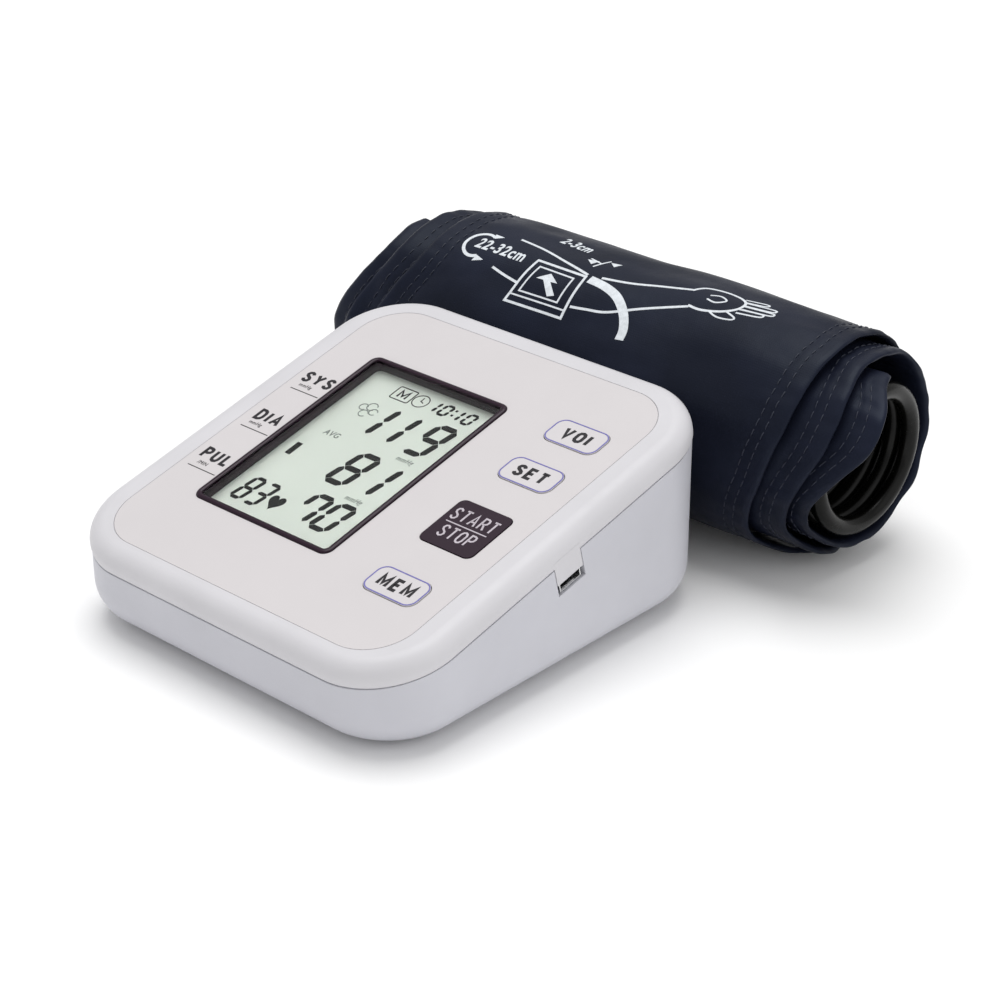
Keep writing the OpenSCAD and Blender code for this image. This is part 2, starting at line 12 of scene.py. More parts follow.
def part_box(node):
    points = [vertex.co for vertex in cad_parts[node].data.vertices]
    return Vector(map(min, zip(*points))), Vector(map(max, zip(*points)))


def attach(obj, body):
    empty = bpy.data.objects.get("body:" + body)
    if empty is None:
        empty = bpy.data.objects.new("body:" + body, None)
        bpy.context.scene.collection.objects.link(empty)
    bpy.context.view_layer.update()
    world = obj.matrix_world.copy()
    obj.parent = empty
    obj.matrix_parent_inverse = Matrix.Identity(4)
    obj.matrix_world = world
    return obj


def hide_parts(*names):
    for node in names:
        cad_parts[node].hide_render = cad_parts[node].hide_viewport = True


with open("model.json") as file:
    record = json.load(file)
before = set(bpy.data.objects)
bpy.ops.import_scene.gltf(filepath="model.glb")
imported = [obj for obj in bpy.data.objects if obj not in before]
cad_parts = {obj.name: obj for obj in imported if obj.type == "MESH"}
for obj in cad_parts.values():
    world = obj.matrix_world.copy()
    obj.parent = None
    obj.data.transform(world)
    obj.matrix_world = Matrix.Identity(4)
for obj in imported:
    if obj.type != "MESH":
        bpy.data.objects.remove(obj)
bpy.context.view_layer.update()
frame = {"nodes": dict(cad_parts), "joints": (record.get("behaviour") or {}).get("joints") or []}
nodes = frame["nodes"]
MM = 0.001

# ---------- places taken from the frame ----------

key_axis = next(j for j in frame["joints"] if j["name"] == "memory_key_press")["axis"]
SLOPE = math.atan2(key_axis[1], -key_axis[2])
overlay_lo, overlay_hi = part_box("face_overlay")
overlay_thick = 0.34 * MM
face_x = (overlay_lo.x + overlay_hi.x) / 2
# Face coordinates: x across, s up the slope from the overlay's front edge, n square to the slope.
FACE = Matrix.Translation((face_x, overlay_lo.y, overlay_lo.z + overlay_thick * math.cos(SLOPE)))
FACE = FACE @ Matrix.Rotation(SLOPE, 4, "X")


def on_face(node):
    """Lowest and highest corner of a CAD node in face coordinates."""
    back = FACE.inverted()
    places = [back @ v.co for v in nodes[node].data.vertices]
    low = Vector(min(p[i] for p in places) for i in range(3))
    high = Vector(max(p[i] for p in places) for i in range(3))
    return low, high


# ---------- camera ----------

CAMERA_PLACE = (0.38985, -0.41659, 0.30604)
CAMERA_TURN = math.radians(42.384)
CAMERA_RISE = math.radians(26.995)


def make_camera():
    data = bpy.data.cameras.new("camera")
    data.sensor_width = 36
    data.lens = 89.326
    data.clip_start = 0.01
    data.clip_end = 20
    camera = bpy.data.objects.new("camera", data)
    bpy.context.scene.collection.objects.link(camera)
    level = math.cos(CAMERA_RISE)
    back = Vector((math.sin(CAMERA_TURN) * level, -math.cos(CAMERA_TURN) * level, math.sin(CAMERA_RISE)))
    camera.location = CAMERA_PLACE
    camera.rotation_mode = "QUATERNION"
    camera.rotation_quaternion = (-back).to_track_quat("-Z", "Y")
    bpy.context.scene.camera = camera


# ---------- materials ----------

def new_material(name):
    material = bpy.data.materials.new(name)
    material.use_nodes = True
    tree = material.node_tree
    shader = tree.nodes["Principled BSDF"]
    return material, tree, shader


def add_node(tree, kind, **inputs):
    node = tree.nodes.new(kind)
    for key, value in inputs.items():
        node.inputs[key.replace("_", " ")].default_value = value
    return node


def noise_of(tree, scale, detail=3.0):
    """A noise texture in object space, with scale in waves per metre."""
    place = tree.nodes.new("ShaderNodeTexCoord")
    texture = add_node(tree, "ShaderNodeTexNoise", Scale=scale, Detail=detail)
    tree.links.new(place.outputs["Object"], texture.inputs["Vector"])
    return texture.outputs["Fac"]


def ramp_of(tree, source, low, high, start=0.35, end=0.65):
    ramp = tree.nodes.new("ShaderNodeValToRGB")
    ramp.color_ramp.elements[0].position = start
    ramp.color_ramp.elements[1].position = end
    ramp.color_ramp.elements[0].color = (*low, 1)
    ramp.color_ramp.elements[1].color = (*high, 1)
    tree.links.new(source, ramp.inputs["Fac"])
    return ramp.outputs["Color"]


def range_of(tree, source, low, high):
    node = add_node(tree, "ShaderNodeMapRange", To_Min=low, To_Max=high)
    node.inputs["From Min"].default_value = 0.3
    node.inputs["From Max"].default_value = 0.7
    tree.links.new(source, node.inputs["Value"])
    return node.outputs["Result"]


def bump_of(tree, shader, source, strength, distance, rounding=0.0):
    bump = add_node(tree, "ShaderNodeBump", Strength=strength, Distance=distance)
    tree.links.new(source, bump.inputs["Height"])
    if rounding:
        bevel = add_node(tree, "ShaderNodeBevel", Radius=rounding)
        bevel.samples = 4
        tree.links.new(bevel.outputs["Normal"], bump.inputs["Normal"])
    tree.links.new(bump.outputs["Normal"], shader.inputs["Normal"])


def shaded(colour, share):
    return tuple(min(1.0, c * share) for c in colour)


def moulded(name, colour, rough=0.35, grain=2600, depth=0.02, vary=0.03, rounding=0.0, coat=0.0,
            specular=0.5):
    """Moulded plastic or rubber: faint blotches of colour and gloss, and a fine spark-eroded grain."""
    material, tree, shader = new_material(name)
    blotch = noise_of(tree, 45)
    colours = ramp_of(tree, blotch, shaded(colour, 1 - vary), shaded(colour, 1 + vary), 0.3, 0.7)
    tree.links.new(colours, shader.inputs["Base Color"])
    gloss = range_of(tree, noise_of(tree, 160), rough * 0.88, rough * 1.12)
    tree.links.new(gloss, shader.inputs["Roughness"])
    shader.inputs["Specular IOR Level"].default_value = specular
    shader.inputs["Coat Weight"].default_value = coat
    bump_of(tree, shader, noise_of(tree, grain, 2.0), depth, 0.0002, rounding)
    return material


def metal(name, colour, rough=0.3, grain=900, stretch=(1, 1, 12)):
    """Drawn or turned metal with fine lines along one way and darker patches."""
    material, tree, shader = new_material(name)
    place = tree.nodes.new("ShaderNodeTexCoord")
    scaled = tree.nodes.new("ShaderNodeMapping")
    scaled.inputs["Scale"].default_value = stretch
    lines = add_node(tree, "ShaderNodeTexNoise", Scale=grain, Detail=4.0)
    tree.links.new(place.outputs["Object"], scaled.inputs["Vector"])
    tree.links.new(scaled.outputs["Vector"], lines.inputs["Vector"])
    colours = ramp_of(tree, noise_of(tree, 120), shaded(colour, 0.82), colour)
    tree.links.new(colours, shader.inputs["Base Color"])
    gloss = range_of(tree, lines.outputs["Fac"], rough * 0.7, rough * 1.3)
    tree.links.new(gloss, shader.inputs["Roughness"])
    shader.inputs["Metallic"].default_value = 1.0
    bump_of(tree, shader, lines.outputs["Fac"], 0.08, 0.0001)
    return material


def print_ink(name, colour, rough=0.45):
    """Printed ink: a little uneven, with a faint edge of gloss."""
    material, tree, shader = new_material(name)
    colours = ramp_of(tree, noise_of(tree, 900), shaded(colour, 0.9), shaded(colour, 1.06))
    tree.links.new(colours, shader.inputs["Base Color"])
    shader.inputs["Roughness"].default_value = rough
    shader.inputs["Specular IOR Level"].default_value = 0.25
    bump_of(tree, shader, noise_of(tree, 4000), 0.05, 0.00005)
    return material


def circuit_board():
    """Green solder mask with lighter tracks under it."""
    material, tree, shader = new_material("board_mask")
    place = tree.nodes.new("ShaderNodeTexCoord")
    tracks = add_node(tree, "ShaderNodeTexBrick", Scale=420.0)
    tracks.inputs["Color1"].default_value = (0.012, 0.13, 0.045, 1)
    tracks.inputs["Color2"].default_value = (0.016, 0.17, 0.06, 1)
    tracks.inputs["Mortar"].default_value = (0.03, 0.25, 0.09, 1)
    tree.links.new(place.outputs["Object"], tracks.inputs["Vector"])
    tree.links.new(tracks.outputs["Color"], shader.inputs["Base Color"])
    shader.inputs["Roughness"].default_value = 0.3
    bump_of(tree, shader, tracks.outputs["Fac"], 0.2, 0.00005)
    return material


def clear_plastic():
    """The display window: clear acrylic with a faint hard coat ripple."""
    material, tree, shader = new_material("clear_acrylic")
    shader.inputs["Base Color"].default_value = (0.97, 0.98, 0.97, 1)
    shader.inputs["Roughness"].default_value = 0.03
    shader.inputs["IOR"].default_value = 1.2
    shader.inputs["Transmission Weight"].default_value = 1.0
    bump_of(tree, shader, noise_of(tree, 60), 0.01, 0.0001)
    return material


def lcd_glass():
    """Reflective display glass, grey green, with the faint grid of its polariser."""
    material, tree, shader = new_material("lcd_polariser")
    place = tree.nodes.new("ShaderNodeTexCoord")
    grid = add_node(tree, "ShaderNodeTexWave", Scale=1500.0, Distortion=0.0)
    tree.links.new(place.outputs["Object"], grid.inputs["Vector"])
    colours = ramp_of(tree, noise_of(tree, 30), (0.80, 0.86, 0.79), (0.84, 0.90, 0.83))
    tree.links.new(colours, shader.inputs["Base Color"])
    shader.inputs["Roughness"].default_value = 0.35
    bump_of(tree, shader, grid.outputs["Fac"], 0.02, 0.00002)
    return material


def woven_nylon(name, colour, rough=0.45, crease=0.3):
    """Coated nylon: a fine plain weave from the piece's own UVs, in metres, with brighter patches."""
    material, tree, shader = new_material(name)
    place = tree.nodes.new("ShaderNodeTexCoord")
    threads = []
    for direction in ("X", "Y"):
        wave = add_node(tree, "ShaderNodeTexWave", Scale=470.0, Distortion=0.6, Detail=1.0)
        wave.bands_direction = direction
        tree.links.new(place.outputs["UV"], wave.inputs["Vector"])
        threads.append(wave.outputs["Fac"])
    weave = tree.nodes.new("ShaderNodeMath")
    weave.operation = "MAXIMUM"
    tree.links.new(threads[0], weave.inputs[0])
    tree.links.new(threads[1], weave.inputs[1])
    colours = ramp_of(tree, noise_of(tree, 38, 5.0), shaded(colour, 0.8), shaded(colour, 1.3))
    tree.links.new(colours, shader.inputs["Base Color"])
    gloss = range_of(tree, noise_of(tree, 70), rough * 0.85, rough * 1.15)
    tree.links.new(gloss, shader.inputs["Roughness"])
    shader.inputs["Specular IOR Level"].default_value = 0.12
    shader.inputs["Specular Tint"].default_value = (0.75, 0.88, 1.0, 1)
    creases = add_node(tree, "ShaderNodeBump", Strength=crease, Distance=0.0008)
    tree.links.new(noise_of(tree, 120, 4.0), creases.inputs["Height"])
    bump = add_node(tree, "ShaderNodeBump", Strength=0.25, Distance=0.00006)
    tree.links.new(weave.outputs["Value"], bump.inputs["Height"])
    tree.links.new(creases.outputs["Normal"], bump.inputs["Normal"])
    tree.links.new(bump.outputs["Normal"], shader.inputs["Normal"])
    return material


def pile_tape(name, colour, scale):
    """Hook or loop tape: a dense field of short tufts."""
    material, tree, shader = new_material(name)
    place = tree.nodes.new("ShaderNodeTexCoord")
    tufts = add_node(tree, "ShaderNodeTexVoronoi", Scale=scale)
    tree.links.new(place.outputs["Object"], tufts.inputs["Vector"])
    colours = ramp_of(tree, tufts.outputs["Distance"], shaded(colour, 1.4), shaded(colour, 0.6), 0.1, 0.6)
    tree.links.new(colours, shader.inputs["Base Color"])
    shader.inputs["Roughness"].default_value = 0.8
    shader.inputs["Sheen Weight"].default_value = 0.4
    bump_of(tree, shader, tufts.outputs["Distance"], 0.7, 0.0004)
    return material


NAVY = (0.0092, 0.0112, 0.0225)
INK_BLACK = (0.012, 0.010, 0.014)
AUBERGINE = (0.019, 0.0065, 0.016)
materials = {
    "shell": moulded("shell_abs", (0.565, 0.565, 0.61), 0.42, rounding=0.0003, specular=0.35),
    "lid": moulded("lid_abs", (0.62, 0.61, 0.635), 0.42, rounding=0.0003, specular=0.35),
    "overlay": moulded("overlay_film", (0.62, 0.592, 0.60), 0.34,
                       grain=5200, depth=0.006, vary=0.01, specular=0.35),
    "bezel": moulded("bezel_gloss", AUBERGINE, 0.22, depth=0.01, rounding=0.00045, specular=0.22),
    "window": clear_plastic(),
    "lcd": lcd_glass(),
    "white": moulded("white_polystyrene", (0.78, 0.78, 0.76), 0.4),
    "keys": moulded("key_film", (0.625, 0.60, 0.615), 0.34,
                    grain=5200, depth=0.006, vary=0.01, specular=0.35),
    "start": moulded("start_key_film", (0.024, 0.011, 0.021), 0.35, grain=5200, depth=0.02, specular=0.16),
    "zebra": moulded("zebra_strip", (0.75, 0.35, 0.42), 0.6),
    "board": circuit_board(),
    "chips": moulded("chip_epoxy", (0.02, 0.02, 0.022), 0.5, depth=0.06),
    "steel": metal("tinned_steel", (0.72, 0.72, 0.73), 0.25),
    "pump": metal("pump_case", (0.62, 0.62, 0.64), 0.32),
    "dark": moulded("dark_acetal", (0.05, 0.05, 0.055), 0.4, rounding=0.0002),
    "cradle": moulded("cradle_foam", (0.03, 0.03, 0.033), 0.8, grain=900, depth=0.3),
    "silicone": moulded("silicone_tube", (0.74, 0.71, 0.65), 0.4),
    "wire": moulded("wire_pvc", (0.55, 0.03, 0.03), 0.35),
    "cell": moulded("cell_jacket", (0.06, 0.08, 0.12), 0.22, coat=0.5),
    "foot": moulded("foot_rubber", (0.045, 0.045, 0.047), 0.7, grain=1400, depth=0.12),
    "bladder": moulded("bladder_tpu", (0.09, 0.10, 0.12), 0.5),
    "hose": moulded("hose_pvc", (0.002, 0.002, 0.0016), 0.26, grain=1800, depth=0.03, specular=0.18),
    "port": moulded("port_nylon", (0.006, 0.006, 0.007), 0.5, grain=1800, depth=0.05, specular=0.2),
    "ink": print_ink("ink_black", INK_BLACK),
    "blue_ink": print_ink("ink_blue", (0.17, 0.16, 0.42)),
    "pale_ink": print_ink("ink_pale", (0.52, 0.47, 0.52)),
    "segments": print_ink("lcd_segment", (0.0012, 0.0018, 0.0018), 0.7),
    "faint": print_ink("lcd_faint", (0.22, 0.26, 0.23), 0.4),
    "white_ink": print_ink("ink_white", (0.72, 0.76, 0.80), 0.5),
    "nylon": woven_nylon("cuff_nylon", NAVY),
    "thread": moulded("cuff_thread", (0.012, 0.016, 0.034), 0.55, grain=5000, depth=0.3),
    "hook": pile_tape("hook_tape", (0.012, 0.012, 0.014), 1500),
    "loop": pile_tape("loop_tape", (0.016, 0.017, 0.024), 2300),
}

NODE_MATERIALS = {
    "shell": ["lower_housing", "battery_door"],
    "lid": ["upper_housing"],
    "overlay": ["face_overlay"],
    "bezel": ["display_frame"],
    "window": ["display_window"],
    "lcd": ["lcd_panel"],
    "white": ["lcd_holder", "display_backlight", "speaker", "memory_switch_plunger",
              "start_stop_switch_plunger", "set_switch_plunger", "voice_switch_plunger"],
    "keys": ["memory_key", "set_key", "voice_key"],
    "start": ["start_stop_key"],
    "zebra": ["lcd_contact_strip"],
    "board": ["main_board"],
    "chips": ["board_chips", "switch_bodies", "pressure_sensor"],
    "steel": ["usb_socket", "pump_shaft", "valve_plunger", "battery_springs", "battery_plates",
              "housing_screws", "board_screws"],
    "pump": ["pump_motor", "release_valve"],
    "dark": ["pump_head", "air_socket", "air_tee"],
    "port": ["air_plug", "hose_port"],
    "cradle": ["pump_cradle"],
    "silicone": ["inner_air_tubes"],
    "wire": ["hookup_wires"],
    "cell": ["battery_cells"],
    "foot": ["rubber_feet"],
    "bladder": ["cuff_bladder"],
    "hook": ["cuff_hook_patch"],
    "loop": ["cuff_loop_patch"],
}


def paint(obj, key):
    obj.data.materials.clear()
    obj.data.materials.append(materials[key])


def paint_nodes():
    for key, names in NODE_MATERIALS.items():
        for name in names:
            obj = nodes[name]
            for holder in obj.material_slots:
                holder.material = materials[key]


# ---------- making meshes ----------

PRINT_T = 0.05 * MM


def make_mesh(name, points, faces, key, smooth=False):
    mesh = bpy.data.meshes.new(name)
    mesh.from_pydata([tuple(p) for p in points], [], faces)
    mesh.validate()
    obj = bpy.data.objects.new(name, mesh)
    bpy.context.scene.collection.objects.link(obj)
    paint(obj, key)
    for face in mesh.polygons:
        face.use_smooth = smooth
    return obj


def swept(line, radius, sides=14):
    """Points and faces of a closed round tube along a line."""
    line = [Vector(p) for p in line]
    points = []
    side = None
    for i, place in enumerate(line):
        ahead = (line[min(i + 1, len(line) - 1)] - line[max(i - 1, 0)]).normalized()
        if side is None:
            side = ahead.orthogonal().normalized()
        side = (side - ahead * side.dot(ahead)).normalized()
        up = ahead.cross(side)
        for k in range(sides):
            turn = 2 * math.pi * k / sides
            points.append(place + (side * math.cos(turn) + up * math.sin(turn)) * radius)
    faces = []
    for i in range(len(line) - 1):
        for k in range(sides):
            a, b = i * sides + k, i * sides + (k + 1) % sides
            faces.append((a, b, b + sides, a + sides))
    faces.append(tuple(range(sides))[::-1])
    faces.append(tuple(len(points) - sides + k for k in range(sides)))
    return points, faces


class Flat:
    """Flat shapes drawn in a plane's own x and y, gathered into one thin solid."""

    def __init__(self):
        self.outlines = []

    def polygon(self, outline):
        area = sum(a[0] * b[1] - b[0] * a[1] for a, b in zip(outline, outline[1:] + outline[:1]))
        self.outlines.append(list(outline) if area > 0 else list(reversed(outline)))

    def box(self, x0, y0, x1, y1, lean=0.0):
        self.polygon([(x0 + lean * y0, y0), (x1 + lean * y0, y0),
                      (x1 + lean * y1, y1), (x0 + lean * y1, y1)])

    def line(self, places, width):
        """A stroke of even width along places, as one quad for each step with mitred corners."""
        closed = math.dist(places[0], places[-1]) < 1e-7
        ways = []
        for a, b in zip(places, places[1:]):
            long = math.dist(a, b) or 1.0
            ways.append(((b[0] - a[0]) / long, (b[1] - a[1]) / long))
        left, right = [], []
        for i, here in enumerate(places):
            before = ways[i - 1] if i or closed else ways[0]
            after = ways[i] if i < len(ways) else (ways[0] if closed else ways[-1])
            px, py = -(before[1] + after[1]), before[0] + after[0]
            long = math.hypot(px, py) or 1.0
            px, py = px / long, py / long
            reach = width / 2 / max(0.5, -px * before[1] + py * before[0])
            left.append((here[0] + px * reach, here[1] + py * reach))
            right.append((here[0] - px * reach, here[1] - py * reach))
        for i in range(len(places) - 1):
            self.polygon([left[i], left[i + 1], right[i + 1], right[i]])

    def solid(self, name, key, place, thick):
        """The shapes as one object, from place's plane up to thick above it."""
        points, faces = [], []
        for outline in self.outlines:
            first, count = len(points), len(outline)
            points += [(x, y, 0.0) for x, y in outline] + [(x, y, thick) for x, y in outline]
            flat = [Vector((x, y, 0.0)) for x, y in outline]
            for a, b, c in tessellate_polygon([flat]):
                turn = (flat[b] - flat[a]).cross(flat[c] - flat[a]).z
                tri = (a, b, c) if turn > 0 else (a, c, b)
                faces.append(tuple(first + count + i for i in tri))
                faces.append(tuple(first + i for i in reversed(tri)))
            for i in range(count):
                j = (i + 1) % count
                faces.append((first + i, first + j, first + count + j, first + count + i))
        obj = make_mesh(name, points, faces, key)
        obj.data.transform(place)
        return obj


def lettering(name, words, key, place, height, thick, narrow=0.72, spread=1.15, bold=0.012, lean=0.0):
    """Words as a thin mesh centred on place's origin, with capitals of that height."""
    curve = bpy.data.curves.new(name, "FONT")
    curve.body = words
    curve.size = height / 0.73
    curve.space_character = spread
    curve.offset = bold * height
    curve.shear = lean
    curve.align_x = "CENTER"
    curve.align_y = "CENTER"
    curve.extrude = thick / 2
    curve.resolution_u = 4
    maker = bpy.data.objects.new(name + "_curve", curve)
    bpy.context.scene.collection.objects.link(maker)
    bpy.context.view_layer.update()
    seen = maker.evaluated_get(bpy.context.evaluated_depsgraph_get())
    mesh = bpy.data.meshes.new_from_object(seen)
    bpy.data.objects.remove(maker)
    mesh.name = name
    mesh.transform(Matrix.Diagonal((narrow, 1, 1, 1)))
    xs = [v.co.x for v in mesh.vertices]
    ys = [v.co.y for v in mesh.vertices]
    mesh.transform(Matrix.Translation((-(min(xs) + max(xs)) / 2, -(min(ys) + max(ys)) / 2, thick / 2)))
    mesh.transform(place)
    obj = bpy.data.objects.new(name, mesh)
    bpy.context.scene.collection.objects.link(obj)
    paint(obj, key)
    return obj


# Capitals as strokes on a grid one unit high, each with its own width.
ROUND = [(0.28, 1), (0.1, 0.93), (0, 0.75), (0, 0.25), (0.1, 0.07), (0.28, 0), (0.46, 0.07), (0.56, 0.25),
         (0.56, 0.75), (0.46, 0.93), (0.28, 1)]
BOWL = [(0, 0), (0, 1), (0.32, 1), (0.48, 0.93), (0.54, 0.76), (0.48, 0.58), (0.32, 0.49), (0, 0.49)]
LETTERS = {
    "A": (0.62, [[(0, 0), (0.31, 1), (0.62, 0)], [(0.12, 0.32), (0.5, 0.32)]]),
    "D": (0.56, [[(0, 0), (0, 1), (0.3, 1), (0.47, 0.9), (0.56, 0.7), (0.56, 0.3), (0.47, 0.1),
                  (0.3, 0), (0, 0)]]),
    "E": (0.5, [[(0.5, 1), (0, 1), (0, 0), (0.5, 0)], [(0, 0.52), (0.42, 0.52)]]),
    "I": (0.0, [[(0, 0), (0, 1)]]),
    "L": (0.46, [[(0, 1), (0, 0), (0.46, 0)]]),
    "M": (0.7, [[(0, 0), (0, 1), (0.35, 0.22), (0.7, 1), (0.7, 0)]]),
    "O": (0.56, [ROUND]),
    "P": (0.54, [BOWL]),
    "R": (0.56, [BOWL, [(0.28, 0.49), (0.56, 0)]]),
    "S": (0.54, [[(0.52, 0.8), (0.45, 0.93), (0.28, 1), (0.1, 0.94), (0.02, 0.77), (0.1, 0.61), (0.28, 0.51),
                  (0.45, 0.41), (0.54, 0.24), (0.45, 0.07), (0.27, 0), (0.09, 0.07), (0, 0.22)]]),
    "T": (0.56, [[(0, 1), (0.56, 1)], [(0.28, 1), (0.28, 0)]]),
    "U": (0.56, [[(0, 1), (0, 0.25), (0.1, 0.07), (0.28, 0), (0.46, 0.07), (0.56, 0.25), (0.56, 1)]]),
    "V": (0.6, [[(0, 1), (0.3, 0), (0.6, 1)]]),
    "Y": (0.6, [[(0, 1), (0.3, 0.48), (0.6, 1)], [(0.3, 0.48), (0.3, 0)]]),
}


def capitals(name, word, key, place, height, stroke, space, narrow=1.0, lean=0.0):
    """A word in stroke capitals as a thin mesh, centred on place's origin."""
    tall = height - stroke
    wide = [LETTERS[sign][0] * tall * narrow for sign in word]
    x = -(sum(wide) + space * (len(word) - 1)) / 2
    flat = Flat()
    for sign, w in zip(word, wide):
        for stroke_line in LETTERS[sign][1]:
            flat.line([(x + px * tall * narrow + lean * (py - 0.5) * tall, (py - 0.5) * tall)
                       for px, py in stroke_line], stroke)
        x += w + space
    return flat.solid(name, key, place, PRINT_T)


def at_face(x, s, n):
    return FACE @ Matrix.Translation((x, s, n))


def arc(cx, cy, r, start, end, steps):
    """Points on an arc, angles in degrees."""
    turns = [math.radians(start + (end - start) * i / steps) for i in range(steps + 1)]
    return [(cx + r * math.cos(t), cy + r * math.sin(t)) for t in turns]


def rounded(w, l, r, steps=8):
    """The outline of a rectangle with round corners, centred on the origin, closed on its first point."""
    out = []
    for i, (sx, sy) in enumerate(((1, 1), (-1, 1), (-1, -1), (1, -1))):
        out += arc(sx * (w / 2 - r), sy * (l / 2 - r), r, 90 * i, 90 * i + 90, steps)
    return out + out[:1]


# ---------- air hose ----------

coil_lo, coil_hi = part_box("air_hose_coil")
plug_lo, plug_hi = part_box("air_plug")
HOSE_D = 5.0 * MM
COIL_R = (coil_hi.y - coil_lo.y - HOSE_D) / 2
coil_y = (coil_lo.y + coil_hi.y) / 2
coil_z = (coil_lo.z + coil_hi.z) / 2
hose_start_x = coil_hi.x - HOSE_D / 2 - 0.25 * MM
plug_z = (plug_lo.z + plug_hi.z) / 2
COIL_STEP = 5.03 * MM
START_ANGLE = 105.0
LAST_ANGLE = -90.0 - 360.0 * 4
TURN_AWAY = 22.0 * MM


def hose_line():
    """From the port round the coil to the bottom of the roll, then along its axis to the plug."""
    turn_r = TURN_AWAY / (math.pi / 2)
    coil_end = LAST_ANGLE + math.degrees(turn_r / COIL_R)
    steps = 210
    line = []
    for i in range(steps + 1):
        angle = START_ANGLE + (coil_end - START_ANGLE) * i / steps
        x = hose_start_x - COIL_STEP * (START_ANGLE - angle) / 360
        t = math.radians(angle)
        line.append((x, coil_y + COIL_R * math.cos(t), coil_z + COIL_R * math.sin(t)))
    coil_x = hose_start_x - COIL_STEP * (START_ANGLE - coil_end) / 360
    steps = 12
    for i in range(1, steps + 1):
        lean = math.pi / 2 * i / steps
        t = math.radians(coil_end) - turn_r * math.sin(lean) / COIL_R
        x = coil_x - turn_r * (1 - math.cos(lean))
        line.append((x, coil_y + COIL_R * math.cos(t), coil_z + COIL_R * math.sin(t)))
    from_x, from_z = line[-1][0], line[-1][2]
    steps = 14
    for i in range(1, steps + 1):
        share = i / steps
        rise = share * share * (3 - 2 * share)
        x = from_x + (plug_hi.x - from_x) * share
        line.append((x, coil_y, from_z + (plug_z - from_z) * rise))
    return line


def make_hose():
    line = hose_line()
    curve = bpy.data.curves.new("air_hose", "CURVE")
    curve.dimensions = "3D"
    curve.bevel_depth = HOSE_D / 2
    curve.bevel_resolution = 6
    curve.use_fill_caps = True
    spline = curve.splines.new("POLY")
    spline.points.add(len(line) - 1)
    for point, place in zip(spline.points, line):
        point.co = (*place, 1)
    hose = bpy.data.objects.new("air_hose", curve)
    bpy.context.scene.collection.objects.link(hose)
    curve.materials.append(materials["hose"])
    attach(hose, "case_and_cuff")
    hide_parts("air_hose_coil", "air_hose_tail")


# ---------- floor and light ----------

def make_stage():
    floor = make_mesh("floor", [(-9, -9, 0), (9, -9, 0), (9, 9, 0), (-9, 9, 0)], [(0, 1, 2, 3)], "white")
    material, tree, shader = new_material("floor_paper")
    colours = ramp_of(tree, noise_of(tree, 6), (0.93, 0.93, 0.93), (0.95, 0.95, 0.95))
    tree.links.new(colours, shader.inputs["Base Color"])
    shader.inputs["Roughness"].default_value = 0.9
    shader.inputs["Specular IOR Level"].default_value = 0.1
    floor.data.materials.clear()
    floor.data.materials.append(material)
    world = bpy.data.worlds.new("studio")
    world.use_nodes = True
    world.node_tree.nodes["Background"].inputs["Color"].default_value = (1, 1, 1, 1)
    world.node_tree.nodes["Background"].inputs["Strength"].default_value = 0.60
    bpy.context.scene.world = world
    suns = (("key", (-0.16, 0.2, 1.0), 1.8, 45), ("fill", (1.0, -0.05, 0.45), 0.4, 60))
    for name, way, strength, spread in suns:
        data = bpy.data.lights.new(name, "SUN")
        data.energy = strength
        data.angle = math.radians(spread)
        lamp = bpy.data.objects.new(name, data)
        bpy.context.scene.collection.objects.link(lamp)
        lamp.rotation_mode = "QUATERNION"
        lamp.rotation_quaternion = Vector(way).to_track_quat("Z", "Y")
    bpy.context.scene.view_settings.view_transform = "Standard"
    bpy.context.scene.view_settings.look = "None"


# ---------- display ----------

SEGMENTS = {"0": "abcdef", "1": "bc", "3": "abcdg", "7": "abcf", "8": "abcdefg", "9": "abcdfg"}


def digit(flat, sign, x, s, w, h, bar, lean):
    """One seven segment figure with its lower left corner at x, s."""
    g = bar * 0.07
    half = h / 2
    b = bar / 2

    def across(y):
        return [(g + b, y), (g + bar, y + b), (w - g - bar, y + b), (w - g - b, y),
                (w - g - bar, y - b), (g + bar, y - b)]

    def upright(c, y0, y1):
        return [(c, y0 + g), (c + b, y0 + g + b), (c + b, y1 - g - b), (c, y1 - g),
                (c - b, y1 - g - b), (c - b, y0 + g + b)]

    shapes = {
        "a": across(h - b), "g": across(half), "d": across(b),
        "f": upright(b, half, h - b), "b": upright(w - b, half, h - b),
        "e": upright(b, b, half), "c": upright(w - b, b, half),
    }
    for part in SEGMENTS[sign]:
        flat.polygon([(x + px + lean * py, s + py) for px, py in shapes[part]])


